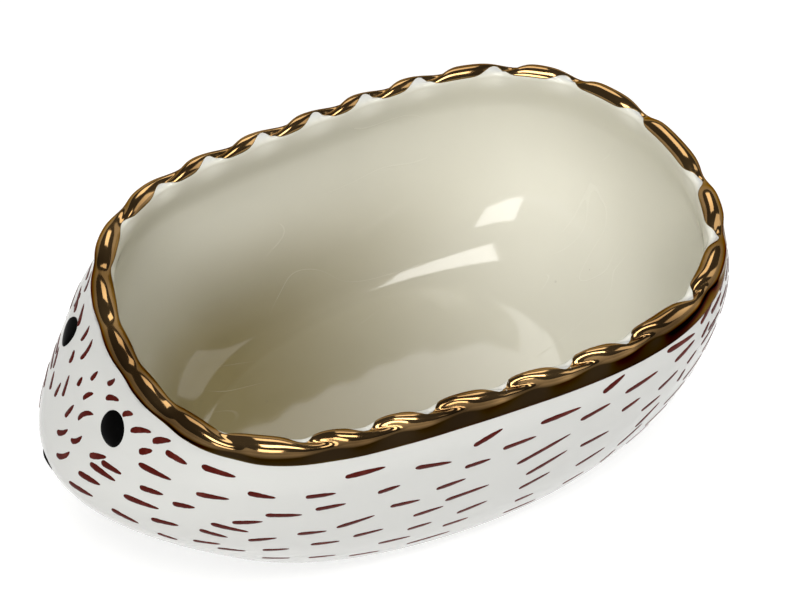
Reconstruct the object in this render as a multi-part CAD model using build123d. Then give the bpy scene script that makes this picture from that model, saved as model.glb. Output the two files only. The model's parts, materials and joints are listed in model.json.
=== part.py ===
from build123d import *
import os
from math import cos, exp, hypot, pi, radians, sin

# A hedgehog-shaped ring dish: one cast ceramic bowl with a snout, a scalloped gilt lip,
# enamel eyes and nose, and enamel quill strokes. Snout towards -X, tail towards +X, +Z up.
# Places on the bowl are a turn, in degrees from the tail round the far side (+Y), and a
# level share, from 0 at the base to 1 at the middle of the lip.

# Plan of the rim, taken along the centre line of the lip
RIM_HALF_LENGTH = 39.6
RIM_HALF_WIDTH = 26.6
RIM_END_SHIFT = 2.2
RIM_CORNER_FULLNESS = 3.0
RIM_TAIL_BREADTH = 1.5

# Bowl
HEIGHT = 34.5
NECK_HEIGHT = 7.5
WIDEST_HEIGHT = HEIGHT - NECK_HEIGHT
LIP_RADIUS = 1.45
SIDE_BULGE = 0.8
TAIL_BULGE = 1.05
NOSE_BULGE = 1.0
SIDE_TUCK = 5.0
TAIL_TUCK = 16.0
NOSE_TUCK = 4.0
BASE_SLOPE_DEGREES = 80
FLOOR_SLOPE_DEGREES = 90
BASE_ROUNDNESS_SHARE = 0.8
FLOOR_THICKNESS = 3.4
FLOOR_BLEND = 4.5

# Snout: how far it reaches ahead of the bowl, where, and how quickly it fades
SNOUT_REACH = 10.0
SNOUT_HEIGHT = 17.4
SNOUT_SPREAD = 10.3
SNOUT_SHARPNESS = 10
SNOUT_HOLLOW = 5.0

# Foot: a flat ring round a shallow recess
FOOT_WIDTH = 3.2
FOOT_RECESS = 0.7

# Scalloped lip: grooves between the lobes, leaning back towards the tail
NOTCH_DEGREES = (10, 27, 43, 60, 72, 83, 95, 108, 122, 140, 158, 174,
                 187, 201, 218, 238, 251, 263, 276, 288, 300, 317, 335, 350)
GROOVE_TOP_DEPTH = 1.1
GROOVE_SIDE_DEPTH = 0.5
GROOVE_WIDTH = 2.1
GROOVE_SKEW = 0.6
GROOVE_LEAN = 2.0
GROOVE_FADE_SHARE = 0.8

# Gilding
GILT_THICKNESS = 0.12
GILT_CLEARANCE = 0.06
GILT_DROP = 2.1
GILT_SNOUT_DROP = 0.5
GILT_SNOUT_SHARPNESS = 4
GILT_REACH_DEGREES = 142
GILT_NOTCH_DEGREES = 38

# Enamel of the eyes, nose and quills. An enamel mark runs between two places on the bowl,
# each a turn in degrees and a level share; the first place is its blunt or lower end.
ENAMEL_CLEARANCE = 0.04
ENAMEL_THICKNESS = 0.1
EYE_WIDTH = 3.6
EYE_DOME = 0.22
LEFT_EYE_PLACE = (195.5, 0.527, 189.1, 0.675)
RIGHT_EYE_PLACE = (168.1, 0.52, 162.7, 0.61)
NOSE_WIDTH = 4.6
NOSE_DOME = 0.15
NOSE_PLACE = (180, 0.32, 180, 0.378)
STROKE_WIDTH = 0.88
FACE_STROKE_WIDTH = 0.82

# Brush strokes round the nose, on the brow and about the eyes. A fifth value, in mm, is how
# far the middle of a stroke bows to its left.
FACE_STROKES = (
    (162, 0.63, 155.3, 0.655), (166.8, 0.675, 162.5, 0.75), (170.9, 0.686, 169.7, 0.80, -0.1),
    (174.7, 0.65, 173.3, 0.80, -0.2), (173.2, 0.555, 171.4, 0.617, -0.1), (172.3, 0.454, 169.7, 0.469),
    (175.2, 0.463, 174.5, 0.483), (177.4, 0.479, 175.5, 0.525), (179.3, 0.565, 178.5, 0.623),
    (180.6, 0.669, 180.4, 0.744), (184.3, 0.766, 185.3, 0.857, -0.15), (182.5, 0.562, 183.5, 0.645, 0.15),
    (186.3, 0.702, 189.2, 0.772, 0.15), (181.3, 0.47, 181.6, 0.493), (184.5, 0.487, 187, 0.568, 0.4),
    (181.8, 0.445, 183.9, 0.464, -0.25), (186, 0.458, 187.7, 0.477, -0.3), (184.7, 0.42, 187.3, 0.445, -0.35),
    (191.9, 0.725, 193.9, 0.793, 0.15), (195.6, 0.69, 199.7, 0.793, 0.15),
)

# Brush strokes of the left side, from the cheek back; the right side mirrors them
CHEEK_STROKES = (
    (191.5, 0.465, 194.8, 0.481), (194.4, 0.47, 199.3, 0.473), (192.5, 0.456, 198.9, 0.457),
    (191.3, 0.43, 196.6, 0.436), (190, 0.398, 196.1, 0.406), (201, 0.738, 204.7, 0.844, 0.1),
    (200, 0.612, 202.2, 0.678), (204.7, 0.731, 210.2, 0.724), (201.4, 0.524, 208.9, 0.531),
)
SHOULDER_STROKES = (
    (203.7, 0.468, 208.5, 0.472), (201.6, 0.44, 208.7, 0.44), (210.7, 0.46, 215, 0.463),
    (214.4, 0.494, 221, 0.495), (213.2, 0.758, 221, 0.74), (207.8, 0.41, 212.8, 0.41),
    (200.2, 0.398, 205.6, 0.386), (208.7, 0.366, 212, 0.353), (216.5, 0.407, 221.5, 0.388),
    (215, 0.363, 219.8, 0.358), (218.7, 0.335, 223.7, 0.325), (224.3, 0.575, 230, 0.505),
    (222.2, 0.436, 227.8, 0.439), (228.2, 0.457, 235.2, 0.448), (218.4, 0.429, 225.3, 0.408),
    (225, 0.377, 230.3, 0.381), (226.9, 0.329, 232, 0.326), (225.3, 0.27, 231, 0.262),
    (235.8, 0.495, 241.7, 0.491), (237.7, 0.457, 243.6, 0.456), (234.1, 0.387, 239.7, 0.38),
    (236.2, 0.334, 241.9, 0.325), (234.6, 0.25, 240.3, 0.24), (243.4, 0.65, 251.2, 0.65),
    (241.6, 0.385, 249.1, 0.395), (244.6, 0.333, 250.7, 0.332), (242.8, 0.205, 249.5, 0.19),
)
HAUNCH_STROKES = (
    (256.8, 0.505, 263.6, 0.486), (249.7, 0.463, 254, 0.466), (252.1, 0.41, 257.9, 0.402),
    (249.4, 0.26, 256.2, 0.25), (256.6, 0.35, 262.6, 0.351), (255.5, 0.295, 260.5, 0.295),
    (260.9, 0.42, 266.5, 0.423), (262.8, 0.371, 271.3, 0.375), (265.5, 0.30, 271.6, 0.31),
    (262.9, 0.252, 268.3, 0.253), (255.4, 0.19, 265, 0.19), (267.5, 0.555, 272.8, 0.665),
    (266.1, 0.458, 270.9, 0.458), (273, 0.475, 279.1, 0.478), (276.1, 0.413, 285.9, 0.448),
    (278.5, 0.363, 286.1, 0.397), (277.9, 0.313, 283.8, 0.337), (278.2, 0.25, 282.2, 0.256),
    (277, 0.183, 284.5, 0.19), (279.6, 0.555, 287.1, 0.575), (287.3, 0.477, 293, 0.49),
    (291.3, 0.65, 295.9, 0.765), (295.8, 0.50, 302.9, 0.575), (288.7, 0.392, 294.5, 0.402),
    (289.8, 0.313, 295.6, 0.338), (289.8, 0.225, 294.3, 0.245), (296, 0.45, 299.8, 0.463),
    (301.4, 0.413, 305.6, 0.428), (302.2, 0.355, 306.5, 0.40), (300, 0.305, 304.2, 0.35),
    (298.5, 0.245, 300.5, 0.285),
)
RUMP_STROKES = (
    (304.2, 0.453, 308.8, 0.473), (305.3, 0.755, 313, 0.71), (307, 0.545, 312.7, 0.63),
    (311.6, 0.468, 314, 0.485), (310.3, 0.43, 311.5, 0.455), (315, 0.75, 320.7, 0.85),
    (315, 0.55, 318, 0.655),
)

# Staggered rows round the tail: the turn where a row starts, its level share and its strokes
TAIL_ROWS = ((324, 0.80, 4), (319, 0.72, 4), (323, 0.62, 4), (317.5, 0.54, 5), (315.5, 0.485, 5),
             (318, 0.445, 4), (313, 0.41, 5), (309.5, 0.365, 5), (307, 0.315, 5), (305, 0.26, 5))
TAIL_ROW_PITCH = 9.2
TAIL_STROKE_TURN = 5.6
TAIL_STROKE_RISE_SHARE = 0.025

# Outline of a brush stroke: places along it and widths there, as shares
STROKE_OUTLINE_SHARES = ((0, 0.42), (0.05, 0.78), (0.14, 1), (0.42, 1), (0.7, 0.88), (0.88, 0.62),
                         (1, 0.2))
OVAL_STEPS = 12
OVAL_END_SHARE = 0.04

# Resolution of the surfaces
RING_POINTS = 192
WALL_LEVEL_SHARES = (0, 0.06, 0.13, 0.2, 0.27, 0.33, 0.38, 0.43, 0.48, 0.53, 0.6, 0.68, 0.76, 0.82,
                     0.87, 0.91, 0.95)
INNER_LEVEL_SHARES = (0.95, 0.88, 0.8, 0.68, 0.55, 0.43, 0.33, 0.23, 0.13, 0.05, 0)
GILT_LEVEL_SHARES = (0, 0.25, 0.5, 0.75)
LIP_STEP_DEGREES = 15
PROBE_SHARE = 0.001
SETTLE_STEPS = 4
STROKE_ACROSS_SHARES = (-1, 1)
OVAL_ACROSS_SHARES = (-1, -0.75, -0.4, 0, 0.4, 0.75, 1)


def rim_point(turn, corner=RIM_CORNER_FULLNESS):
    """Centre line of the lip in plan, with how square its corners are."""
    x = RIM_HALF_LENGTH * cos(turn) + RIM_END_SHIFT * cos(2 * turn)
    y = (RIM_HALF_WIDTH + corner) * sin(turn) + RIM_TAIL_BREADTH * sin(2 * turn) + corner * sin(3 * turn)
    return x, y


def rim_slope(turn, corner=RIM_CORNER_FULLNESS):
    """Derivative of rim_point by the turn."""
    dx = -RIM_HALF_LENGTH * sin(turn) - 2 * RIM_END_SHIFT * sin(2 * turn)
    dy = ((RIM_HALF_WIDTH + corner) * cos(turn) + 2 * RIM_TAIL_BREADTH * cos(2 * turn)
          + 3 * corner * cos(3 * turn))
    return dx, dy


def wall_profile(level, slope_degrees):
    """How far down the curve below the widest line a level is (1 to 0), and its height share."""
    steepest = radians(slope_degrees)
    angle = -steepest * (1 - 2 * level)
    roundness = (cos(angle) - cos(steepest)) / (1 - cos(steepest))
    return roundness, 1 + sin(angle) / sin(steepest)


def wall_point(turn, level, side, foot_height, extra_tuck, snout, slope_degrees):
    """A point of the outer (side 1) or inner (side -1) wall, without the lobes of the lip."""
    lip_height = HEIGHT - LIP_RADIUS
    if level < 0.5:
        low, rise = wall_profile(level, slope_degrees)
        z = foot_height + (WIDEST_HEIGHT - foot_height) * rise
        bulge, tuck, snout_share = low, 1 - low, 1
    else:
        up = 2 * level - 1
        z = WIDEST_HEIGHT + (lip_height - WIDEST_HEIGHT) * up
        bulge, tuck = (1 + cos(pi * up)) / 2, 0
        snout_share = bulge
    corner = RIM_CORNER_FULLNESS * (1 - BASE_ROUNDNESS_SHARE * tuck)
    x, y = rim_point(turn, corner)
    dx, dy = rim_slope(turn, corner)
    reach = side * LIP_RADIUS / hypot(dx, dy)
    x += dy * reach
    y -= dx * reach
    tail = (1 + cos(turn)) / 2
    along = (bulge * (TAIL_BULGE * tail + NOSE_BULGE * (1 - tail))
             - tuck * (TAIL_TUCK * tail + NOSE_TUCK * (1 - tail) + extra_tuck))
    across = bulge * SIDE_BULGE - tuck * (SIDE_TUCK + extra_tuck)
    x *= 1 + along / RIM_HALF_LENGTH
    y *= 1 + across / RIM_HALF_WIDTH
    nearness = snout_share * exp(-((z - SNOUT_HEIGHT) / SNOUT_SPREAD) ** 2)
    x -= snout * nearness * ((1 - cos(turn)) / 2) ** SNOUT_SHARPNESS
    return Vector(x, y, z)


def outer_wall(turn, level):
    return wall_point(turn, level, 1, 0, 0, SNOUT_REACH, BASE_SLOPE_DEGREES)


def inner_wall(turn, level):
    return wall_point(turn, level, -1, FLOOR_THICKNESS, FLOOR_BLEND, SNOUT_HOLLOW,
                      FLOOR_SLOPE_DEGREES)


def groove(turn, across):
    """Depth share of the notches between the lobes; across runs from -1 inside to 1 outside."""
    depth = 0
    for notch in NOTCH_DEGREES:
        middle = radians(notch)
        speed = hypot(*rim_slope(middle))
        middle -= GROOVE_LEAN * across * sin(middle) / speed
        gap = (turn - middle + pi) % (2 * pi) - pi
        skew = GROOVE_SKEW * sin(middle)
        width = GROOVE_WIDTH + (skew if gap > 0 else -skew)
        depth += exp(-(gap * speed / width) ** 2)
    return depth


def lip_point(turn, roll, lift=0):
    """A point round the lip: roll 0 is outward, pi/2 is the top and pi is inward."""
    x, y = rim_point(turn)
    dx, dy = rim_slope(turn)
    speed = hypot(dx, dy)
    depth = GROOVE_SIDE_DEPTH + (GROOVE_TOP_DEPTH - GROOVE_SIDE_DEPTH) * sin(roll) ** 2
    radius = LIP_RADIUS - depth * groove(turn, cos(roll)) + lift
    return Vector(x + dy / speed * radius * cos(roll), y - dx / speed * radius * cos(roll),
                  HEIGHT - LIP_RADIUS + radius * sin(roll))


def grooved(point, turn, level, side):
    """Draws a wall point in where a notch runs out down the wall under the lip."""
    fade = (level - GROOVE_FADE_SHARE) / (1 - GROOVE_FADE_SHARE)
    if fade <= 0:
        return point
    dx, dy = rim_slope(turn)
    reach = -side * GROOVE_SIDE_DEPTH * fade ** 2 * groove(turn, side) / hypot(dx, dy)
    return point + Vector(dy * reach, -dx * reach, 0)


def outer_point(turn, level, lift=0):
    dx, dy = rim_slope(turn)
    reach = lift / hypot(dx, dy)
    return grooved(outer_wall(turn, level), turn, level, 1) + Vector(dy * reach, -dx * reach, 0)


def inner_point(turn, level):
    return grooved(inner_wall(turn, level), turn, level, -1)


def all_turns(count):
    return [2 * pi * i / count for i in range(count)]


def ring(point_at):
    """A closed smooth ring through the points at all turns; every ring runs at the same pace."""
    turns = all_turns(RING_POINTS)
    points = [point_at(turn) for turn in turns]
    return Wire([Edge.make_spline(points, periodic=True, parameters=turns + [2 * pi])])


# The middle of the object's length lies on the origin
SNOUT_TIP = min(outer_wall(pi, step / RING_POINTS).X for step in range(RING_POINTS)) - ENAMEL_CLEARANCE
SNOUT_TIP -= ENAMEL_THICKNESS + NOSE_DOME
TAIL_END = max(outer_wall(0, step / RING_POINTS).X for step in range(RING_POINTS)) + ENAMEL_CLEARANCE
TAIL_END += ENAMEL_THICKNESS
TO_ORIGIN = Vector(-(SNOUT_TIP + TAIL_END) / 2, 0, 0)


def write(solids, node):
    solids = solids if isinstance(solids, list) else [solids]
    moved = [solid.moved(Location(TO_ORIGIN)) for solid in solids]
    export_step(moved[0] if len(moved) == 1 else Compound(children=moved), f"parts/{node}.step")


def dish_body():
    rings = [ring(lambda turn, level=level: outer_point(turn, level)) for level in WALL_LEVEL_SHARES]
    for degrees in range(0, 180 + 1, LIP_STEP_DEGREES):
        rings.append(ring(lambda turn, roll=radians(degrees): lip_point(turn, roll)))
    rings += [ring(lambda turn, level=level: inner_point(turn, level)) for level in INNER_LEVEL_SHARES]
    shell = Solid.make_loft(rings)
    foot_share = 1 - FOOT_WIDTH / RIM_HALF_WIDTH
    recess = make_face(ring(lambda turn: outer_wall(turn, 0) * foot_share).edges())
    return shell - extrude(recess, FOOT_RECESS)


def gilt_rings(lift):
    """Rings of the gilding from its outer border over the lip to its inner border."""
    rings = []
    for share in GILT_LEVEL_SHARES:
        def below_lip(turn, share=share):
            snout = ((1 - cos(turn)) / 2) ** GILT_SNOUT_SHARPNESS
            drop = GILT_DROP + (GILT_SNOUT_DROP - GILT_DROP) * snout
            border = 1 - drop / (HEIGHT - LIP_RADIUS - WIDEST_HEIGHT) / 2
            return outer_point(turn, border + (1 - border) * share, lift)
        rings.append(ring(below_lip))
    steps = GILT_REACH_DEGREES // LIP_STEP_DEGREES
    for step in range(steps + 1):
        def over_lip(turn, step=step):
            reach = radians(GILT_REACH_DEGREES - GILT_NOTCH_DEGREES * min(groove(turn, -1), 1))
            return lip_point(turn, reach * step / steps, lift)
        rings.append(ring(over_lip))
    return rings


def gilt_rim():
    under = gilt_rings(GILT_CLEARANCE)
    over = gilt_rings(GILT_CLEARANCE + GILT_THICKNESS)
    faces = Shell.make_loft(under).faces() + Shell.make_loft(over).faces()
    faces += [Face.make_surface_from_curves(under[i].edge(), over[i].edge()) for i in (0, -1)]
    return Solid(Shell(Face.sew_faces(faces)[0]))


def surface_axes(turn, level):
    """Point of the outer surface, its slopes by turn and by level, and its outward normal."""
    here = outer_point(turn, level)
    by_turn = (outer_point(turn + PROBE_SHARE, level) - here) / PROBE_SHARE
    by_level = (outer_point(turn, level + PROBE_SHARE) - here) / PROBE_SHARE
    return here, by_turn, by_level, by_turn.cross(by_level).normalized()


def nearest(target, turn, level):
    """The turn and level where the outer surface is nearest a point, settled from a first guess."""
    for _ in range(SETTLE_STEPS):
        here, by_turn, by_level, _ = surface_axes(turn, level)
        miss = target - here
        tt, ll, tl = by_turn.dot(by_turn), by_level.dot(by_level), by_turn.dot(by_level)
        miss_turn, miss_level = miss.dot(by_turn), miss.dot(by_level)
        turn += (miss_turn * ll - miss_level * tl) / (tt * ll - tl * tl)
        level += (miss_level * tt - miss_turn * tl) / (tt * ll - tl * tl)
    return turn, level


def enamel(place, width, dome, outline, across):
    """A thin raised enamel mark that follows the surface between two places."""
    first, last = (radians(place[0]), place[1]), (radians(place[2]), place[3])
    bow = place[4] if len(place) > 4 else 0
    start = outer_point(*first)
    run = outer_point(*last) - start
    sections = []
    for along, breadth in outline:
        guess = [first[i] + (last[i] - first[i]) * along for i in range(2)]
        spot = nearest(start + run * along, *guess)
        here, _, _, normal = surface_axes(*spot)
        sideways = normal.cross(run).normalized()
        ahead = sideways.cross(normal)
        bowed = bow * (1 - (2 * along - 1) ** 2)
        under, over = [], []
        for share in across:
            reach = bowed + share * breadth * width / 2
            point, _, _, outward = surface_axes(*nearest(here + sideways * reach, *spot))
            point -= ahead * (point - here).dot(ahead)
            outward -= ahead * outward.dot(ahead)
            crown = ENAMEL_THICKNESS + dome * (1 - share ** 2) * breadth
            under.append(point + outward * ENAMEL_CLEARANCE)
            over.append(point + outward * (ENAMEL_CLEARANCE + crown))
        sections.append(Wire.make_polygon(under + over[::-1], close=True))
    return Solid.make_loft(sections, ruled=True)


def oval_outline():
    """Outline of an ellipse, with closer steps towards its ends."""
    steps = [pi * i / OVAL_STEPS for i in range(OVAL_STEPS + 1)]
    return [((1 - cos(angle)) / 2, max(sin(angle), OVAL_END_SHARE)) for angle in steps]


def oval(place, width, dome):
    return enamel(place, width, dome, oval_outline(), OVAL_ACROSS_SHARES)


def strokes(places, width=STROKE_WIDTH):
    return [enamel(place, width, 0, STROKE_OUTLINE_SHARES, STROKE_ACROSS_SHARES) for place in places]


def mirrored(places):
    """The same places on the other side, bowed the other way."""
    return [(360 - place[0], place[1], 360 - place[2], place[3], *[-bow for bow in place[4:]])
            for place in places]


def tail_strokes():
    """The rows on the left half of the tail."""
    places = []
    for start, level, count in TAIL_ROWS:
        for i in range(count):
            first = start + TAIL_ROW_PITCH * i
            places.append((first, level, first + TAIL_STROKE_TURN, level + TAIL_STROKE_RISE_SHARE))
    return places


if __name__ == "__main__":
    os.makedirs("parts", exist_ok=True)
    write(dish_body(), "dish_body")
    write(gilt_rim(), "gilt_rim")
    write(oval(LEFT_EYE_PLACE, EYE_WIDTH, EYE_DOME), "left_eye")
    write(oval(RIGHT_EYE_PLACE, EYE_WIDTH, EYE_DOME), "right_eye")
    write(oval(NOSE_PLACE, NOSE_WIDTH, NOSE_DOME), "nose")
    write(strokes(FACE_STROKES, FACE_STROKE_WIDTH), "face_quills")
    for node, places in (("cheek", CHEEK_STROKES), ("shoulder", SHOULDER_STROKES),
                         ("haunch", HAUNCH_STROKES), ("rump", RUMP_STROKES)):
        write(strokes(places), f"left_{node}_quills")
        write(strokes(mirrored(places)), f"right_{node}_quills")
    write(strokes(tail_strokes() + mirrored(tail_strokes())), "tail_quills")
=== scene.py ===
import json
from math import cos, pi, radians, sin

import bpy
import numpy as np
from bpy.props import FloatProperty, FloatVectorProperty, IntProperty, PointerProperty
from mathutils import Matrix, Vector


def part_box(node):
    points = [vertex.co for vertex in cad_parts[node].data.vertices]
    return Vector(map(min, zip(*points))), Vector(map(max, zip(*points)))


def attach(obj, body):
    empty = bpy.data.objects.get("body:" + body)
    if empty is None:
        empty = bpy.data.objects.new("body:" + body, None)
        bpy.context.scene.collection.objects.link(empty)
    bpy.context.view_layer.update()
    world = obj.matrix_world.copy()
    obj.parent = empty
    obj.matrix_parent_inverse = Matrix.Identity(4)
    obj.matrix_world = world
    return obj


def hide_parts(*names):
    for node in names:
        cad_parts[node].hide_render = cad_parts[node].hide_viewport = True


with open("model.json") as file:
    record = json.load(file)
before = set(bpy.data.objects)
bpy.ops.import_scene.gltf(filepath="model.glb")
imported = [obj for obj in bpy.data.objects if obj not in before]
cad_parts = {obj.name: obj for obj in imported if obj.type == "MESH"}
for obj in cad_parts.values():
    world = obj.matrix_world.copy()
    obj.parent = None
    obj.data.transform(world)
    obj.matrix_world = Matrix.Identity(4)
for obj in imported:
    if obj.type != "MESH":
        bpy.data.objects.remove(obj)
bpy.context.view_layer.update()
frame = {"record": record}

bl_info = {
    "name": "Hedgehog ring dish",
    "version": (1, 0, 0),
    "blender": (4, 5, 0),
    "location": "View3D > Sidebar > Ring dish",
    "description": "Glazes, gilds and paints a hedgehog-shaped ring dish",
    "category": "Object",
}

# Notches between the lobes of the lip, in degrees from the tail round the far side
NOTCH_DEGREES = (10, 27, 43, 60, 72, 83, 95, 108, 122, 140, 158, 174,
                 187, 201, 218, 238, 251, 263, 276, 288, 300, 317, 335, 350)

# Brush strokes and eyes run between two places on the bowl, each a turn in degrees and a
# level share from the base (0) to the lip (1). A fifth value is a bow sideways, in mm.
LEFT_EYE_PLACE = (195.5, 0.527, 189.1, 0.675)
RIGHT_EYE_PLACE = (168.1, 0.52, 162.7, 0.61)
NOSE_PLACE = (180, 0.32, 180, 0.378)

FACE_STROKES = (
    (162, 0.63, 155.3, 0.655), (166.8, 0.675, 162.5, 0.75), (170.9, 0.686, 169.7, 0.80, -0.1),
    (174.7, 0.65, 173.3, 0.80, -0.2), (173.2, 0.555, 171.4, 0.617, -0.1), (172.3, 0.454, 169.7, 0.469),
    (175.2, 0.463, 174.5, 0.483), (177.4, 0.479, 175.5, 0.525), (179.3, 0.565, 178.5, 0.623),
    (180.6, 0.669, 180.4, 0.744), (184.3, 0.766, 185.3, 0.857, -0.15), (182.5, 0.562, 183.5, 0.645, 0.15),
    (186.3, 0.702, 189.2, 0.772, 0.15), (181.3, 0.47, 181.6, 0.493), (184.5, 0.487, 187, 0.568, 0.4),
    (181.8, 0.445, 183.9, 0.464, -0.25), (186, 0.458, 187.7, 0.477, -0.3), (184.7, 0.42, 187.3, 0.445, -0.35),
    (191.9, 0.725, 193.9, 0.793, 0.15), (195.6, 0.69, 199.7, 0.793, 0.15),
)
CHEEK_STROKES = (
    (191.5, 0.465, 194.8, 0.481), (194.4, 0.47, 199.3, 0.473), (192.5, 0.456, 198.9, 0.457),
    (191.3, 0.43, 196.6, 0.436), (190, 0.398, 196.1, 0.406), (201, 0.738, 204.7, 0.844, 0.1),
    (200, 0.612, 202.2, 0.678), (204.7, 0.731, 210.2, 0.724), (201.4, 0.524, 208.9, 0.531),
)
SHOULDER_STROKES = (
    (203.7, 0.468, 208.5, 0.472), (201.6, 0.44, 208.7, 0.44), (210.7, 0.46, 215, 0.463),
    (214.4, 0.494, 221, 0.495), (213.2, 0.758, 221, 0.74), (207.8, 0.41, 212.8, 0.41),
    (200.2, 0.398, 205.6, 0.386), (208.7, 0.366, 212, 0.353), (216.5, 0.407, 221.5, 0.388),
    (215, 0.363, 219.8, 0.358), (218.7, 0.335, 223.7, 0.325), (224.3, 0.575, 230, 0.505),
    (222.2, 0.436, 227.8, 0.439), (228.2, 0.457, 235.2, 0.448), (218.4, 0.429, 225.3, 0.408),
    (225, 0.377, 230.3, 0.381), (226.9, 0.329, 232, 0.326), (225.3, 0.27, 231, 0.262),
    (235.8, 0.495, 241.7, 0.491), (237.7, 0.457, 243.6, 0.456), (234.1, 0.387, 239.7, 0.38),
    (236.2, 0.334, 241.9, 0.325), (234.6, 0.25, 240.3, 0.24), (243.4, 0.65, 251.2, 0.65),
    (241.6, 0.385, 249.1, 0.395), (244.6, 0.333, 250.7, 0.332), (242.8, 0.205, 249.5, 0.19),
)
HAUNCH_STROKES = (
    (256.8, 0.505, 263.6, 0.486), (249.7, 0.463, 254, 0.466), (252.1, 0.41, 257.9, 0.402),
    (249.4, 0.26, 256.2, 0.25), (256.6, 0.35, 262.6, 0.351), (255.5, 0.295, 260.5, 0.295),
    (260.9, 0.42, 266.5, 0.423), (262.8, 0.371, 271.3, 0.375), (265.5, 0.30, 271.6, 0.31),
    (262.9, 0.252, 268.3, 0.253), (255.4, 0.19, 265, 0.19), (267.5, 0.555, 272.8, 0.665),
    (266.1, 0.458, 270.9, 0.458), (273, 0.475, 279.1, 0.478), (276.1, 0.413, 285.9, 0.448),
    (278.5, 0.363, 286.1, 0.397), (277.9, 0.313, 283.8, 0.337), (278.2, 0.25, 282.2, 0.256),
    (277, 0.183, 284.5, 0.19), (279.6, 0.555, 287.1, 0.575), (287.3, 0.477, 293, 0.49),
    (291.3, 0.65, 295.9, 0.765), (295.8, 0.50, 302.9, 0.575), (288.7, 0.392, 294.5, 0.402),
    (289.8, 0.313, 295.6, 0.338), (289.8, 0.225, 294.3, 0.245), (296, 0.45, 299.8, 0.463),
    (301.4, 0.413, 305.6, 0.428), (302.2, 0.355, 306.5, 0.40), (300, 0.305, 304.2, 0.35),
    (298.5, 0.245, 300.5, 0.285),
)
RUMP_STROKES = (
    (304.2, 0.453, 308.8, 0.473), (305.3, 0.755, 313, 0.71), (307, 0.545, 312.7, 0.63),
    (311.6, 0.468, 314, 0.485), (310.3, 0.43, 311.5, 0.455), (315, 0.75, 320.7, 0.85),
    (315, 0.55, 318, 0.655),
)
# Staggered rows round the tail: the turn where a row starts, its level share and its strokes
TAIL_ROWS = ((324, 0.80, 4), (319, 0.72, 4), (323, 0.62, 4), (317.5, 0.54, 5), (315.5, 0.485, 5),
             (318, 0.445, 4), (313, 0.41, 5), (309.5, 0.365, 5), (307, 0.315, 5), (305, 0.26, 5))
TAIL_ROW_PITCH = 9.2
TAIL_STROKE_TURN = 5.6
TAIL_STROKE_RISE_SHARE = 0.025

# Outline of a brush stroke: places along it and half widths there, as shares
STROKE_OUTLINE = ((0, 0.0), (0.008, 0.34), (0.022, 0.55), (0.045, 0.76), (0.08, 0.9), (0.14, 1.0),
                  (0.25, 1.03), (0.38, 1.0), (0.5, 0.96), (0.62, 0.89), (0.73, 0.79), (0.83, 0.66), (0.91, 0.5),
                  (0.96, 0.34), (0.99, 0.17), (1, 0.0))
STROKE_ACROSS = (-1, -0.8, -0.4, 0, 0.4, 0.8, 1)
STROKE_UNEVENNESS = 0.05

# Slope of the outside at the base and of the hollow at its floor
BASE_SLOPE_DEGREES = 80
FLOOR_SLOPE_DEGREES = 90

# Level where a notch starts to show on the wall, and how sharply notches ease at the snout
GROOVE_FADE_SHARE = 0.8
SNOUT_EASE = 8

# Inner border of the gilding: its turn over the lip, more at the snout end, less in a notch
GILT_REACH_DEGREES = 156
GILT_SNOUT_REACH_DEGREES = 18
GILT_NOTCH_DEGREES = 92
GILT_WANDER_DEGREES = 3
GILT_WANDER_SHARE = 0.07
# Where the gilding is thin, in degrees of turn, and how far round
THIN_PATCH_DEGREES = 322
THIN_PATCH_SPREAD_DEGREES = 8

# Resolution
RING_POINTS = 640
PROBE_SHARE = 0.0005
SETTLE_STEPS = 5


def size(name, description, default):
    return FloatProperty(name=name, description=description, default=default, precision=5, unit="LENGTH")


def share(name, description, default):
    return FloatProperty(name=name, description=description, default=default, min=0, max=2, subtype="FACTOR")


def colour(name, description, default):
    return FloatVectorProperty(name=name, description=description, default=default, min=0, max=1, size=3,
                               subtype="COLOR")


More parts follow.
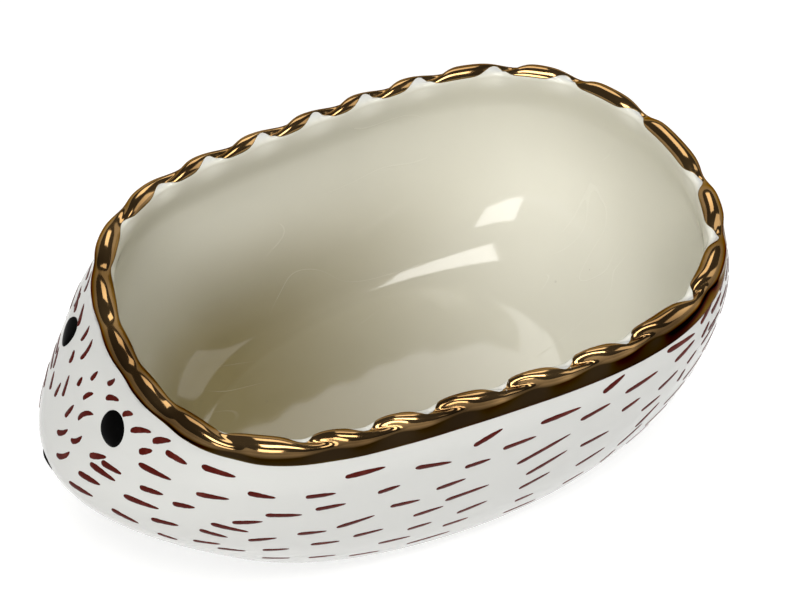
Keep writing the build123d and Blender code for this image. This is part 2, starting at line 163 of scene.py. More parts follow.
class RingDishSizes(bpy.types.PropertyGroup):
    """Sizes of the bowl, its lip and its decoration."""
    rim_half_length: size("Rim half length", "From the middle to the lip at the tail", 0.0396)
    rim_half_width: size("Rim half width", "From the middle to the lip at the side", 0.0266)
    rim_end_shift: size("Rim end shift", "How much blunter the snout end of the rim is", 0.0022)
    rim_corner_fullness: size("Rim corner fullness", "How square the rim is", 0.003)
    rim_tail_breadth: size("Rim tail breadth", "How much broader the rim is at the tail", 0.0015)
    height: size("Height", "Height over the lip", 0.0345)
    widest_height: size("Widest height", "Height of the widest line of the bowl", 0.027)
    lip_radius: size("Lip radius", "Half the thickness of the rolled lip", 0.00145)
    side_bulge: size("Side bulge", "How far the sides swell below the lip", 0.0008)
    tail_bulge: size("Tail bulge", "How far the tail swells below the lip", 0.00105)
    nose_bulge: size("Nose bulge", "How far the snout end swells below the lip", 0.001)
    side_tuck: size("Side tuck", "How far the sides draw in at the base", 0.005)
    tail_tuck: size("Tail tuck", "How far the tail draws in at the base", 0.016)
    nose_tuck: size("Nose tuck", "How far the snout end draws in at the base", 0.004)
    base_roundness: share("Base roundness", "How much rounder the base is than the rim", 0.8)
    floor_thickness: size("Floor thickness", "Thickness of the floor of the bowl", 0.0034)
    floor_blend: size("Floor blend", "How much smaller the floor is than the base", 0.0045)
    snout_reach: size("Snout reach", "How far the snout stands out of the bowl", 0.010)
    snout_height: size("Snout height", "Height of the tip of the snout", 0.0174)
    snout_spread: size("Snout spread", "How quickly the snout fades up and down", 0.0103)
    snout_sharpness: IntProperty(name="Snout sharpness", description="How narrow the snout is", default=10)
    snout_hollow: size("Snout hollow", "How far the hollow reaches into the snout", 0.005)
    foot_width: size("Foot width", "Width of the bare foot ring", 0.0032)
    foot_recess: size("Foot recess", "Depth of the recess inside the foot ring", 0.0007)
    groove_top_depth: size("Notch depth on top", "Depth of a notch over the lip", 0.0011)
    groove_side_depth: size("Notch depth at the side", "Depth of a notch at the side of the lip", 0.0005)
    groove_width: size("Notch width", "Half width of a notch", 0.0021)
    groove_skew: size("Notch skew", "How much steeper a notch is on its tail side", 0.0006)
    groove_lean: size("Notch lean", "How far a notch leans back towards the tail", 0.002)
    snout_smoothing: share("Snout smoothing", "How much shallower the notches are at the snout end", 0.55)
    gilt_thickness: size("Gilt thickness", "Thickness of the gilding as it shows", 0.00005)
    gilt_drop: size("Gilt drop", "How far the gilding comes down outside", 0.0021)
    gilt_snout_drop: size("Gilt drop at the snout", "How far it comes down over the brow", 0.0001)
    eye_width: size("Eye width", "Width of an eye", 0.0037)
    eye_dome: size("Eye dome", "How far the middle of an eye stands proud", 0.00022)
    nose_width: size("Nose width", "Width of the nose", 0.0045)
    nose_dome: size("Nose dome", "How far the middle of the nose stands proud", 0.00015)
    stroke_width: size("Stroke width", "Width of a brush stroke", 0.00094)
    face_stroke_width: size("Face stroke width", "Width of a brush stroke of the face", 0.00084)
    enamel_thickness: size("Enamel thickness", "How far a brush stroke stands proud", 0.00005)


class RingDishColours(bpy.types.PropertyGroup):
    """Colours of the glazes, the gilding and the enamels."""
    outside: colour("Outside glaze", "White glaze of the outside", (0.775, 0.785, 0.765))
    inside: colour("Inside glaze", "Ivory glaze of the inside", (0.83, 0.82, 0.73))
    # Painted shade: dark olive ivory for the inside floor at the snout end, where that floor lies in shadow
    painted_floor_shade: colour("Pooled glaze", "Ivory glaze where it lies thick", (0.24, 0.20, 0.098))
    bisque: colour("Bare clay", "Unglazed foot ring", (0.66, 0.61, 0.52))
    gilt: colour("Gilding", "Fired gold film", (0.44, 0.27, 0.115))
    gilt_dark: colour("Dark gilding", "Gold film where it is thick", (0.21, 0.12, 0.048))
    # Painted reflection: near-black gold for the outer side of the lip, standing for dark surroundings mirrored
    # there
    gilt_painted_dark_reflection: colour("Low gilding", "Gold film below the lobes", (0.010, 0.006, 0.003))
    gilt_edge: colour("Gilding at its border", "Gold film at its border", (0.20, 0.15, 0.03))
    gilt_thin: colour("Thin gilding", "Gold film where it is thin", (0.52, 0.36, 0.18))
    brown: colour("Brown enamel", "Brush strokes", (0.085, 0.006, 0.003))
    # Lighter brown for strokes where the brush ran dry, and painted sheen on strokes low on the bowl
    brown_dry_and_sheen: colour("Thin brown enamel", "Brush strokes where the brush ran dry", (0.25, 0.06, 0.045))
    black: colour("Black enamel", "Eyes and nose", (0.002, 0.002, 0.002))
    floor: colour("Floor", "Floor and backdrop", (0.86, 0.86, 0.86))


class DishForm:
    """Surfaces of the dish in metres, from arrays of turns (radians) and level shares."""

    def __init__(self, sizes):
        self.s = sizes
        turns, levels = np.meshgrid(np.linspace(0, 2 * pi, 361), np.linspace(0, 1, 101))
        wall = self.outer(turns, levels)[..., 0]
        low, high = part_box("dish_body")
        self.shift = (low.x + high.x) / 2 - (wall.min() + wall.max()) / 2

    def plan(self, turn, corner):
        s = self.s
        return (s.rim_half_length * np.cos(turn) + s.rim_end_shift * np.cos(2 * turn),
                (s.rim_half_width + corner) * np.sin(turn) + s.rim_tail_breadth * np.sin(2 * turn)
                + corner * np.sin(3 * turn))

    def plan_slope(self, turn, corner):
        s = self.s
        return (-s.rim_half_length * np.sin(turn) - 2 * s.rim_end_shift * np.sin(2 * turn),
                (s.rim_half_width + corner) * np.cos(turn) + 2 * s.rim_tail_breadth * np.cos(2 * turn)
                + 3 * corner * np.cos(3 * turn))

    def outward(self, turn):
        """Unit normal of the rim's centre line in plan, and the length of its slope."""
        dx, dy = self.plan_slope(turn, self.s.rim_corner_fullness)
        speed = np.hypot(dx, dy)
        return dy / speed, -dx / speed, speed

    def wall(self, turn, level, side, foot_height, extra_tuck, snout, slope):
        s = self.s
        low = level < 0.5
        angle = -slope * (1 - 2 * np.minimum(level, 0.5))
        roundness = (np.cos(angle) - cos(slope)) / (1 - cos(slope))
        up = np.maximum(2 * level - 1, 0)
        fade = (1 + np.cos(pi * up)) / 2
        z = np.where(low, foot_height + (s.widest_height - foot_height) * (1 + np.sin(angle) / sin(slope)),
                     s.widest_height + (s.height - s.lip_radius - s.widest_height) * up)
        bulge = np.where(low, roundness, fade)
        tuck = np.where(low, 1 - roundness, 0)
        corner = s.rim_corner_fullness * (1 - s.base_roundness * tuck)
        x, y = self.plan(turn, corner)
        dx, dy = self.plan_slope(turn, corner)
        reach = side * s.lip_radius / np.hypot(dx, dy)
        x, y = x + dy * reach, y - dx * reach
        tail = (1 + np.cos(turn)) / 2
        along = (bulge * (s.tail_bulge * tail + s.nose_bulge * (1 - tail))
                 - tuck * (s.tail_tuck * tail + s.nose_tuck * (1 - tail) + extra_tuck))
        across = bulge * s.side_bulge - tuck * (s.side_tuck + extra_tuck)
        nearness = np.where(low, 1, fade) * np.exp(-((z - s.snout_height) / s.snout_spread) ** 2)
        x = x * (1 + along / s.rim_half_length) - snout * nearness * (1 - tail) ** s.snout_sharpness
        y = y * (1 + across / s.rim_half_width)
        return np.stack(np.broadcast_arrays(x, y, z), -1)

    def groove(self, turn, across):
        s = self.s
        depth = 0
        for notch in NOTCH_DEGREES:
            middle = radians(notch)
            relief = 1 - s.snout_smoothing * ((1 - cos(middle)) / 2) ** SNOUT_EASE
            speed = self.outward(middle)[2]
            gap = (turn - middle + s.groove_lean * across * sin(middle) / speed + pi) % (2 * pi) - pi
            width = s.groove_width + np.where(gap > 0, 1, -1) * s.groove_skew * sin(middle)
            depth = depth + relief * np.exp(-(gap * speed / width) ** 2)
        return depth

    def drawn_in(self, points, turn, level, side):
        fade = np.clip((level - GROOVE_FADE_SHARE) / (1 - GROOVE_FADE_SHARE), 0, 1) ** 2
        nx, ny, _ = self.outward(turn)
        reach = -side * self.s.groove_side_depth * fade * self.groove(turn, side)
        return points + np.stack(np.broadcast_arrays(nx * reach, ny * reach, 0 * reach), -1)

    def outer(self, turn, level, lift=0):
        s = self.s
        points = self.wall(turn, level, 1, 0, 0, s.snout_reach, radians(BASE_SLOPE_DEGREES))
        points = self.drawn_in(points, turn, level, 1)
        nx, ny, _ = self.outward(turn)
        return points + lift * np.stack(np.broadcast_arrays(nx, ny, 0 * level), -1)

    def inner(self, turn, level):
        s = self.s
        points = self.wall(turn, level, -1, s.floor_thickness, s.floor_blend, s.snout_hollow,
                           radians(FLOOR_SLOPE_DEGREES))
        return self.drawn_in(points, turn, level, -1)

    def lip(self, turn, roll, lift=0):
        s = self.s
        x, y = self.plan(turn, s.rim_corner_fullness)
        nx, ny, _ = self.outward(turn)
        depth = s.groove_side_depth + (s.groove_top_depth - s.groove_side_depth) * np.sin(roll) ** 2
        radius = s.lip_radius - depth * self.groove(turn, np.cos(roll)) + lift
        return np.stack(np.broadcast_arrays(x + nx * radius * np.cos(roll), y + ny * radius * np.cos(roll),
                                            s.height - s.lip_radius + radius * np.sin(roll)), -1)

    def surface(self, turn, level):
        """Points of the outside, their slopes by turn and level, and their outward normals."""
        here = self.outer(turn, level)
        by_turn = (self.outer(turn + PROBE_SHARE, level) - here) / PROBE_SHARE
        by_level = (self.outer(turn, level + PROBE_SHARE) - here) / PROBE_SHARE
        normal = np.cross(by_turn, by_level)
        return here, by_turn, by_level, normal / np.linalg.norm(normal, axis=-1, keepdims=True)

    def nearest(self, target, turn, level):
        """Turns and levels where the outside is nearest some points, settled from first guesses."""
        for _ in range(SETTLE_STEPS):
            here, by_turn, by_level, _ = self.surface(turn, level)
            miss = target - here
            tt, ll = (by_turn ** 2).sum(-1), (by_level ** 2).sum(-1)
            tl = (by_turn * by_level).sum(-1)
            miss_turn, miss_level = (miss * by_turn).sum(-1), (miss * by_level).sum(-1)
            turn = turn + (miss_turn * ll - miss_level * tl) / (tt * ll - tl * tl)
            level = level + (miss_level * tt - miss_turn * tl) / (tt * ll - tl * tl)
        return turn, level

    def centred(self, points):
        return points + np.array([self.shift, 0, 0])


def all_turns():
    return np.linspace(0, 2 * pi, RING_POINTS, endpoint=False)


def snout_share(turns, sharpness):
    """1 at the snout, 0 at the tail; sharper keeps it nearer the snout."""
    return ((1 - np.cos(turns)) / 2) ** sharpness


def shaded(tint, share):
    return tuple(share * channel for channel in tint)


def there_and_back(values):
    return values + values[::-1]


def smooth_mesh(name, points, faces, attributes=()):
    """A smooth-shaded object from points, faces and named values at the points."""
    mesh = bpy.data.meshes.new(name)
    mesh.from_pydata([tuple(p) for p in points], [], faces)
    for attribute, values in attributes:
        layer = mesh.attributes.new(attribute, "FLOAT", "POINT")
        layer.data.foreach_set("value", np.ascontiguousarray(values, np.float32))
    mesh.validate()
    mesh.shade_smooth()
    piece = bpy.data.objects.new(name, mesh)
    bpy.context.scene.collection.objects.link(piece)
    return piece


def ring_faces(rings, count, closed=False):
    """Quads between rings of count points each."""
    faces = []
    for i in range(rings if closed else rings - 1):
        low, high = i * count, (i + 1) % rings * count
        for j in range(count):
            k = (j + 1) % count
            faces.append((low + j, low + k, high + k, high + j))
    return faces


def finish_piece(piece, material, *nodes):
    piece.data.materials.clear()
    piece.data.materials.append(material)
    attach(piece, "root")
    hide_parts(*nodes)
    next(part["material_slot"] for part in frame["record"]["subparts"]
                        if part["node"] == nodes[0])
    return piece


class Value:
    """A number that varies over a surface, held as the socket that gives it."""

    def __init__(self, finish, socket):
        self.finish, self.socket = finish, socket

    def maths(self, operation, first, second=0, clamp=False):
        return self.finish.node("ShaderNodeMath", {"operation": operation, "use_clamp": clamp},
                                {0: first, 1: second})

    def __add__(self, other):
        return self.maths("ADD", self, other)

    def __sub__(self, other):
        return self.maths("SUBTRACT", self, other)

    def __rsub__(self, other):
        return self.maths("SUBTRACT", other, self)

    def __mul__(self, other):
        return self.maths("MULTIPLY", self, other)

    __radd__, __rmul__ = __add__, __mul__

    def clamped(self):
        return self.maths("ADD", self, 0, clamp=True)

    def between(self, low, high):
        """0 below low, 1 above high and smooth between; high may be the lower one."""
        return self.finish.node("ShaderNodeMapRange", {"interpolation_type": "SMOOTHSTEP"},
                                {"Value": self, "From Min": low, "From Max": high})


class Finish:
    """A material and the nodes that make it."""

    def __init__(self, name):
        self.material = bpy.data.materials.new(name)
        self.material.use_nodes = True
        self.tree = self.material.node_tree
        self.tree.nodes.clear()
        self.place = self.node("ShaderNodeTexCoord", output="Object")

    def node(self, kind, settings=None, sockets=None, output=0):
        """Adds a node: its settings first, then its sockets' values or links."""
        node = self.tree.nodes.new(kind)
        for setting, value in (settings or {}).items():
            setattr(node, setting, value)
        for socket, value in (sockets or {}).items():
            if isinstance(value, Value):
                self.tree.links.new(value.socket, node.inputs[socket])
            else:
                node.inputs[socket].default_value = value
        return Value(self, node.outputs[output]) if node.outputs else node

    def noise(self, scale, detail=2.0, roughness=0.5, distortion=0.0, place=None):
        return self.node("ShaderNodeTexNoise", None,
                         {"Vector": place or self.place, "Scale": scale, "Detail": detail,
                          "Roughness": roughness, "Distortion": distortion})

    def specks(self, scale, radius):
        """1 inside sparse round specks, 0 elsewhere."""
        near = self.node("ShaderNodeTexVoronoi", None, {"Vector": self.place, "Scale": scale})
        return near.between(radius, radius * 0.6)

    def attribute(self, name):
        return self.node("ShaderNodeAttribute", {"attribute_name": name}, output="Fac")

    def along(self, axis):
        return self.node("ShaderNodeSeparateXYZ", None, {0: self.place}, output=axis)

    def mix(self, mask, first, second):
        """The first colour where the mask is 0 and the second where it is 1."""
        opaque = [(*c, 1) if isinstance(c, (tuple, list)) else c for c in (first, second)]
        return self.node("ShaderNodeMix", {"data_type": "RGBA"}, {0: mask, 6: opaque[0], 7: opaque[1]},
                         output=2)

    def bump(self, height, strength, distance, normal=None):
        sockets = {"Height": height, "Strength": strength, "Distance": distance}
        if normal:
            sockets["Normal"] = normal
        return self.node("ShaderNodeBump", None, sockets)

    def surface(self, **sockets):
        """Ends the material in a Principled shader; an underscore in a name is a space."""
        named = {name.replace("_", " "): value for name, value in sockets.items()}
        shader = self.node("ShaderNodeBsdfPrincipled", None, named)
        self.node("ShaderNodeOutputMaterial", None, {"Surface": shader})
        return self.material


def glaze(colours):
    """White glaze outside, ivory inside, with waves, pinholes, hairlines and a bare foot. Painted light makes
    the inside lighter towards the tail end. Painted shade darkens the inside floor at the snout end, and the
    outside towards the base and the tail end.
    """
    f = Finish("glaze")
    inside, bare = f.attribute("inside"), f.attribute("bare")
    x, z = f.along("X"), f.along("Z")
    cloud = f.noise(38, 3, 0.55)
    fine = f.noise(900, 2, 0.5)
    # Painted shade: the inside darkens towards the floor at the snout end, broken up by cloud noise
    snout_floor_shade = (z.between(0.025, 0.004) * x.between(0.045, -0.022) + (cloud - 0.5) * 0.12).clamped()
    # Painted light: the ivory inside is 15 % lighter towards the tail end, where its wall faces the light
    ivory = f.mix(x.between(0.005, 0.040), tuple(colours.inside), shaded(colours.inside, 1.15))
    ivory = f.mix(snout_floor_shade, ivory, tuple(colours.painted_floor_shade))
    white = f.mix((cloud - 0.4) * 0.5, tuple(colours.outside), shaded(colours.outside, 0.965))
    # Painted shade: the white outside darkens towards the base and towards the tail end
    painted_outside_shade = (z.between(0.024, 0.004) * 0.6 + x.between(0.0, 0.045) * 0.4).clamped()
    white = f.mix(painted_outside_shade, white, shaded(colours.outside, 0.84))
    coat = f.mix(inside, white, ivory)
    pinholes = f.specks(210, 0.055) * f.noise(70, 1).between(0.54, 0.62) * inside
    coat = f.mix(pinholes * 0.75, coat, (0.20, 0.16, 0.11))
    stretched = f.node("ShaderNodeMapping", None,
                       {"Vector": f.place, "Rotation": (0.3, 0.5, 0.9), "Scale": (1, 3.2, 1.4)})
    thread = f.noise(55, 0, 0.5, 0.4, stretched)
    hairline = (thread.between(0.492, 0.4985) * thread.between(0.508, 0.5015)
                * f.noise(48, 1).between(0.57, 0.66) * inside)
    coat = f.mix(hairline * 0.09, coat, (0.88, 0.87, 0.80))
    clay = f.mix(fine, tuple(colours.bisque), shaded(colours.bisque, 0.86))
    colour_all = f.mix(bare, coat, clay)
    rough = 0.055 + 0.05 * cloud + hairline * 0.25 + bare * 0.75
    waves = f.bump(f.noise(85, 1, 0.4), 0.22, 0.0006)
    peel = f.bump(fine, 0.05, 0.0001, waves)
    normal = f.bump(pinholes * -1 + hairline * 0.5, 0.5, 0.00005, peel)
    return f.surface(Base_Color=colour_all, Roughness=rough, Normal=normal, IOR=1.5)


def gold_lustre(colours):
    """Fired gold film: a deep bronze mirror, olive at its borders and tan where it is thin, with a painted dark
    reflection over the outer side of the lip.
    """
    f = Finish("gold_lustre")
    border, low, worn = f.attribute("border"), f.attribute("low"), f.attribute("thinned")
    cloud = f.noise(120, 2, 0.5)
    brush = f.noise(420, 2, 0.5, 0.6)
    thick = cloud.between(0.30, 0.70)
    film = f.mix(thick, tuple(colours.gilt), tuple(colours.gilt_dark))
    # Painted reflection: the outer side of the lip, below the lobes, is darkened nearly to black
    film = f.mix(low * 0.96, film, tuple(colours.gilt_painted_dark_reflection))
    edge = border.between(0.00022, 0.0)
    patch = (worn * cloud.between(0.25, 0.6)).clamped()
    film = f.mix(edge * 0.5, film, tuple(colours.gilt_edge))
    film = f.mix(patch * 0.8, film, tuple(colours.gilt_thin))
    rough = 0.09 + 0.05 * brush + patch * 0.10
    normal = f.bump(f.noise(210, 1, 0.5), 0.30, 0.0002, f.bump(brush, 0.04, 0.00005))
    return f.surface(Base_Color=film, Metallic=1.0 - patch * 0.15, Roughness=rough, Normal=normal,
                     Specular_Tint=(0.30, 0.22, 0.12, 1))


def brown_enamel(colours):
    f = Finish("brown_enamel")
    dry = f.noise(420, 3, 0.6).between(0.50, 0.74)
    # Painted sheen: strokes lighten towards the bottom of the bowl; the dry-brush noise is the enamel's own
    low = f.along("Z").between(0.018, 0.004)
    thin = (dry * 0.3 + low * 0.3).clamped()
    colour_all = f.mix(thin, tuple(colours.brown), tuple(colours.brown_dry_and_sheen))
    normal = f.bump(f.noise(1500), 0.1, 0.00003)
    return f.surface(Base_Color=colour_all, Roughness=0.30 + 0.15 * dry, Normal=normal, Specular_IOR_Level=0.06)


def black_enamel(colours):
    f = Finish("black_enamel")
    cloud = f.noise(700, 2)
    colour_all = f.mix(cloud.between(0.5, 0.8), tuple(colours.black), shaded(colours.black, 2))
    return f.surface(Base_Color=colour_all, Roughness=0.34 + 0.1 * cloud, Normal=f.bump(cloud, 0.06, 0.00004),
                     Specular_IOR_Level=0.02)


class RINGDISH_OT_bowl(bpy.types.Operator):
    """Throws the glazed bowl: foot, walls, rolled lip, hollow and floor"""
    bl_idname = "ring_dish.bowl"
    bl_label = "Glazed bowl"

    def execute(self, context):
        sizes = context.scene.ring_dish_sizes
        form = DishForm(sizes)
        turns = all_turns()
        rings, inside, bare = [], [], []

        def add(points, inner, unglazed):
            rings.append(points)
            inside.append(np.broadcast_to(inner, (RING_POINTS,)))
            bare.append(np.full(RING_POINTS, unglazed))

        base = form.outer(turns, 0 * turns)
        foot_share = 1 - sizes.foot_width / sizes.rim_half_width
        for part in (0.02, 0.35, 0.7, 0.97, 1):
            add(base * [foot_share * part, foot_share * part, 1] + [0, 0, sizes.foot_recess], 0, 0.0)
        for part, drop in ((1, 0.5), (1.004, 0.08), (1.012, 0)):
            add(base * [foot_share * part, foot_share * part, 1] + [0, 0, sizes.foot_recess * drop], 0, 1.0)
        for part in (0.965, 0.985, 0.995):
            add(base * [part, part, 1], 0, 1.0)
        for level in np.concatenate([[0.0, 0.012, 0.03], np.linspace(0.05, 0.98, 48)]):
            add(form.outer(turns, 0 * turns + level), 0, 1.0 if level < 0.02 else 0.0)
        for roll in np.radians(np.arange(0, 181, 6)):
            add(form.lip(turns, roll), np.clip((roll - radians(95)) / radians(60), 0, 1), 0.0)
        for level in np.concatenate([np.linspace(0.98, 0.05, 46), [0.02, 0.0]]):
            add(form.inner(turns, 0 * turns + level), 1, 0.0)
        floor = rings[-1]
        middle = np.array([floor[:, 0].mean(), 0, 0])
        for part in (0.97, 0.9, 0.75, 0.5, 0.25, 0.02):
            add((floor - middle) * [part, part, 1] + middle, 1, 0.0)
        faces = ring_faces(len(rings), RING_POINTS)
        faces.append(tuple(reversed(range(RING_POINTS))))
        faces.append(tuple(range((len(rings) - 1) * RING_POINTS, len(rings) * RING_POINTS)))
        piece = smooth_mesh("bowl", form.centred(np.concatenate(rings)), faces,
                            (("inside", np.concatenate(inside)), ("bare", np.concatenate(bare))))
        finish_piece(piece, glaze(context.scene.ring_dish_colours), "dish_body")
        return {"FINISHED"}


class RINGDISH_OT_gilding(bpy.types.Operator):
    """Lays the gold film over the lobes of the lip"""
    bl_idname = "ring_dish.gilding"
    bl_label = "Gilt lip"

    def execute(self, context):
        s = context.scene.ring_dish_sizes
        form = DishForm(s)
        turns = all_turns()
        wander = sum(np.sin(k * turns + 1.7 * k * k) / k for k in (5, 9, 14, 23, 37)) / 2.2
        drop = s.gilt_drop + (s.gilt_snout_drop - s.gilt_drop) * snout_share(turns, 4)
        drop = drop * (1 + GILT_WANDER_SHARE * wander)
        low = 1 - drop / (s.height - s.lip_radius - s.widest_height) / 2
        snout = snout_share(turns, 6)
        bare = (1 - 0.9 * snout) * np.minimum(form.groove(turns, -1), 1) ** 2
        reach = np.radians(GILT_REACH_DEGREES + GILT_SNOUT_REACH_DEGREES * snout - GILT_NOTCH_DEGREES * bare
                           + GILT_WANDER_DEGREES * wander)
        wall_steps, lip_steps = np.linspace(0, 1, 9)[:-1], np.linspace(0, 1, 30)
        over, under, border = [], [], []
        for lift, rings in ((s.gilt_thickness, over), (s.gilt_thickness * 0.2, under)):
            rings.extend(form.outer(turns, low + (1 - low) * part, lift) for part in wall_steps)
            rings.extend(form.lip(turns, reach * part, lift) for part in lip_steps)
        border.extend(drop * part for part in wall_steps)
        border.extend(np.minimum(drop + reach * part * s.lip_radius, reach * (1 - part) * s.lip_radius)
                      for part in lip_steps)
        rings = over + under[::-1]
        patch = np.exp(-((np.degrees(turns) - THIN_PATCH_DEGREES) / THIN_PATCH_SPREAD_DEGREES) ** 2)
        thinned = [patch * np.clip(1 - k / 7, 0, 1) for k in range(len(over))]
        # Shares of the painted dark reflection: full on the outer wall, fading out over the lower part of the
        # lip
        dark_reflection_shares = [np.full(RING_POINTS, np.clip(1 - (k - 8) / 12, 0, 1)) for k in range(len(over))]
        attributes = [(name, np.concatenate(there_and_back(values)))
                      for name, values in (("border", border), ("thinned", thinned), ("low", dark_reflection_shares))]
        piece = smooth_mesh("gilding", form.centred(np.concatenate(rings)),
                            ring_faces(len(rings), RING_POINTS, True), attributes)
        finish_piece(piece, gold_lustre(context.scene.ring_dish_colours), "gilt_rim")
        return {"FINISHED"}


def mark(form, place, width, thickness, dome, outline, across, unevenness=0.0):
    """Points and faces of a raised enamel mark that follows the bowl between two places."""
    along, breadth = np.array(outline, float).T
    first, last = np.array([radians(place[0]), place[1]]), np.array([radians(place[2]), place[3]])
    spots = first + (last - first) * along[:, None]
    start = form.outer(first[0], first[1])
    run = form.outer(last[0], last[1]) - start
    turn, level = form.nearest(start + run * along[:, None], spots[:, 0], spots[:, 1])
    here, _, _, normal = form.surface(turn, level)
    sideways = np.cross(normal, run)
    sideways /= np.linalg.norm(sideways, axis=-1, keepdims=True)
    bow = (place[4] if len(place) > 4 else 0) / 1000 * (1 - (2 * along - 1) ** 2)
    seed = place[0] * 7.3 + place[1] * 91
    ragged = 1 + unevenness * np.sin(along * 23 + seed) + unevenness * np.sin(along * 9 + seed * 3)
    rows = []
    for step in across:
        offset = bow + step * breadth * ragged * width / 2
        spot = form.nearest(here + sideways * offset[:, None], turn, level)
        point, _, _, outward = form.surface(*spot)
        crown = (1 - step ** 2) * (dome + thickness) if abs(step) < 1 else 0
        sunk = 0 if crown else thickness
        rows.append(point + outward * (crown * np.minimum(breadth * 2, 1)[:, None] - sunk))
    points = np.stack(rows, 1).reshape(-1, 3)
    wide, faces = len(across), []
    for i in range(len(along) - 1):
        for j in range(wide - 1):
            a = i * wide + j
            faces.append((a, a + wide, a + wide + 1, a + 1))
    return points, faces


def marks(name, form, places, width, thickness, dome, outline, across, unevenness=0.0):
    points, faces, total = [], [], 0
    for place in places:
        p, f = mark(form, place, width, thickness, dome, outline, across, unevenness)
        points.append(p)
        faces += [tuple(v + total for v in face) for face in f]
        total += len(p)
    return smooth_mesh(name, form.centred(np.concatenate(points)), faces)


def mirrored(places):
    """The same places on the other side, bowed the other way."""
    return [(360 - place[0], place[1], 360 - place[2], place[3], *[-bow for bow in place[4:]])
            for place in places]


def tail_strokes():
    """The rows on the left half of the tail."""
    places = []
    for start, level, count in TAIL_ROWS:
        for i in range(count):
            first = start + TAIL_ROW_PITCH * i
            places.append((first, level, first + TAIL_STROKE_TURN, level + TAIL_STROKE_RISE_SHARE))
    return places


class RINGDISH_OT_face(bpy.types.Operator):
    """Drops the black enamel of the eyes and the nose"""
    bl_idname = "ring_dish.face"
    bl_label = "Eyes and nose"

    def execute(self, context):
        s = context.scene.ring_dish_sizes
        form = DishForm(s)
        steps = np.linspace(0, pi, 33)
        outline = np.stack([(1 - np.cos(steps)) / 2, np.sin(steps)], 1)
        across = np.sin(np.linspace(-pi / 2, pi / 2, 21))
        across[0], across[-1] = -1, 1
        material = black_enamel(context.scene.ring_dish_colours)
        for name, node, place, width, dome in (
                ("eye_left", "left_eye", LEFT_EYE_PLACE, s.eye_width, s.eye_dome),
                ("eye_right", "right_eye", RIGHT_EYE_PLACE, s.eye_width, s.eye_dome),
                ("snout_tip", "nose", NOSE_PLACE, s.nose_width, s.nose_dome)):
            piece = marks(name, form, [place], width, s.enamel_thickness, dome, outline, across)
            finish_piece(piece, material, node)
        return {"FINISHED"}


class RINGDISH_OT_quills(bpy.types.Operator):
    """Paints the brush strokes of the face, the sides and the tail"""
    bl_idname = "ring_dish.quills"
    bl_label = "Quill strokes"

    def execute(self, context):
        s = context.scene.ring_dish_sizes
        form = DishForm(s)
        material = brown_enamel(context.scene.ring_dish_colours)
        groups = [("face", FACE_STROKES, s.face_stroke_width)]
        for part, places in (("cheek", CHEEK_STROKES), ("shoulder", SHOULDER_STROKES),
                             ("haunch", HAUNCH_STROKES), ("rump", RUMP_STROKES)):
            groups.append(("left_" + part, places, s.stroke_width))
            groups.append(("right_" + part, mirrored(places), s.stroke_width))
        groups.append(("tail", tail_strokes() + mirrored(tail_strokes()), s.stroke_width))
        for part, places, width in groups:
            piece = marks("strokes_" + part, form, places, width, s.enamel_thickness, 0, STROKE_OUTLINE,
                          STROKE_ACROSS, STROKE_UNEVENNESS)
            finish_piece(piece, material, part + "_quills")
        return {"FINISHED"}


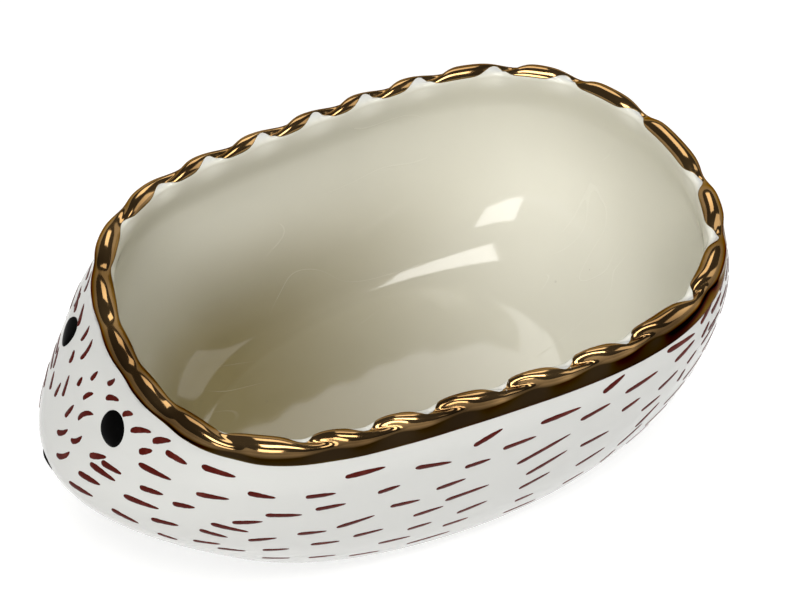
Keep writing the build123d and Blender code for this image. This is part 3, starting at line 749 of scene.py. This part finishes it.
class RINGDISH_OT_stage(bpy.types.Operator):
    """Sets the pale floor and backdrop, the soft lamps and the camera"""
    bl_idname = "ring_dish.stage"
    bl_label = "Stage"

    def execute(self, context):
        scene = context.scene
        self.backdrop(tuple(scene.ring_dish_colours.floor))
        self.lamps()
        self.camera(scene)
        world = bpy.data.worlds.new("studio")
        scene.world = world
        world.use_nodes = True
        world.node_tree.nodes["Background"].inputs["Color"].default_value = (0.10, 0.10, 0.10, 1)
        scene.view_settings.view_transform = "Standard"
        return {"FINISHED"}

    def backdrop(self, pale):
        """A round floor that curves up into a low wall."""
        count, profile = 96, [(0.001, 0.0), (0.1, 0.0), (0.6, 0.0), (1.6, 0.0)]
        profile += [(1.6 + 0.5 * sin(a), 0.5 - 0.5 * cos(a)) for a in np.linspace(0.1, pi / 2, 12)]
        profile.append((2.1, 0.9))
        turns = np.linspace(0, 2 * pi, count, endpoint=False)
        points = [(r * cos(t), r * sin(t), z) for r, z in profile for t in turns]
        floor = smooth_mesh("floor", points, ring_faces(len(profile), count) + [tuple(range(count))])
        f = Finish("floor")
        rays = f.tree.nodes.new("ShaderNodeLightPath")
        seen = (Value(f, rays.outputs["Is Camera Ray"]) + Value(f, rays.outputs["Is Glossy Ray"])
                + Value(f, rays.outputs["Is Transmission Ray"])).clamped()
        cloud = f.noise(3)
        plain = f.mix(cloud, pale, shaded(pale, 0.985))
        shade = f.mix(seen, plain, shaded(pale, 0.62))
        lit = f.node("ShaderNodeBsdfDiffuse", None, {"Color": shade})
        white = f.node("ShaderNodeEmission", None, {"Color": (1, 1, 1, 1), "Strength": seen * 0.66})
        both = f.node("ShaderNodeAddShader", None, {0: lit, 1: white})
        f.node("ShaderNodeOutputMaterial", None, {"Surface": both})
        floor.data.materials.append(f.material)

    def lamps(self):
        for name, place, target, width, depth, power in (
                ("overhead", (-0.05, -0.17, 0.62), (0, 0, 0), 0.40, 0.22, 2.2),
                ("front", (-0.42, -0.52, 0.40), (0, 0, 0.02), 0.34, 0.26, 1.9),
                ("back", (0.22, 0.46, 0.58), (0, 0, 0.02), 0.34, 0.30, 0.85),
                ("side", (0.60, -0.22, 0.50), (0, 0, 0.02), 0.40, 0.40, 0.8)):
            lamp = bpy.data.lights.new(name, "AREA")
            lamp.shape, lamp.size, lamp.size_y, lamp.energy = "RECTANGLE", width, depth, power
            lamp.color = (1.0, 0.985, 0.955)
            holder = bpy.data.objects.new(name, lamp)
            holder.location = place
            holder.rotation_euler = (Vector(place) - Vector(target)).to_track_quat("Z", "Y").to_euler()
            bpy.context.scene.collection.objects.link(holder)

    def camera(self, scene):
        turn, rise, roll = radians(-25.46), radians(48.32), radians(-0.63)
        back = Vector((sin(turn) * cos(rise), -cos(turn) * cos(rise), sin(rise)))
        right = Vector((cos(turn), sin(turn), 0))
        up = back.cross(right)
        right, up = right * cos(roll) + up * sin(roll), up * cos(roll) - right * sin(roll)
        lens = bpy.data.cameras.new("camera")
        lens.sensor_width, lens.lens = 36, 63.71
        lens.clip_start = 0.01
        holder = bpy.data.objects.new("camera", lens)
        axes = Matrix((right, up, back)).transposed().to_4x4()
        holder.matrix_world = Matrix.Translation(Vector((-0.00258, -0.0092, 0.03453)) + back * 0.16945) @ axes
        scene.collection.objects.link(holder)
        scene.camera = holder


class RINGDISH_PT_panel(bpy.types.Panel):
    """Lists the pieces of the ring dish"""
    bl_idname = "RINGDISH_PT_panel"
    bl_label = "Ring dish"
    bl_space_type = "VIEW_3D"
    bl_region_type = "UI"
    bl_category = "Ring dish"

    def draw(self, context):
        for operator in OPERATORS:
            self.layout.operator(operator.bl_idname)
        for group in (context.scene.ring_dish_sizes, context.scene.ring_dish_colours):
            for name in group.__annotations__:
                self.layout.prop(group, name)


OPERATORS = (RINGDISH_OT_bowl, RINGDISH_OT_gilding, RINGDISH_OT_face, RINGDISH_OT_quills, RINGDISH_OT_stage)
CLASSES = (RingDishSizes, RingDishColours, *OPERATORS, RINGDISH_PT_panel)


def register():
    for entry in CLASSES:
        bpy.utils.register_class(entry)
    bpy.types.Scene.ring_dish_sizes = PointerProperty(type=RingDishSizes)
    bpy.types.Scene.ring_dish_colours = PointerProperty(type=RingDishColours)


def unregister():
    del bpy.types.Scene.ring_dish_colours
    del bpy.types.Scene.ring_dish_sizes
    for entry in reversed(CLASSES):
        bpy.utils.unregister_class(entry)


def main():
    register()
    bpy.ops.ring_dish.bowl()
    bpy.ops.ring_dish.gilding()
    bpy.ops.ring_dish.face()
    bpy.ops.ring_dish.quills()
    bpy.ops.ring_dish.stage()


if __name__ == "__main__":
    main()
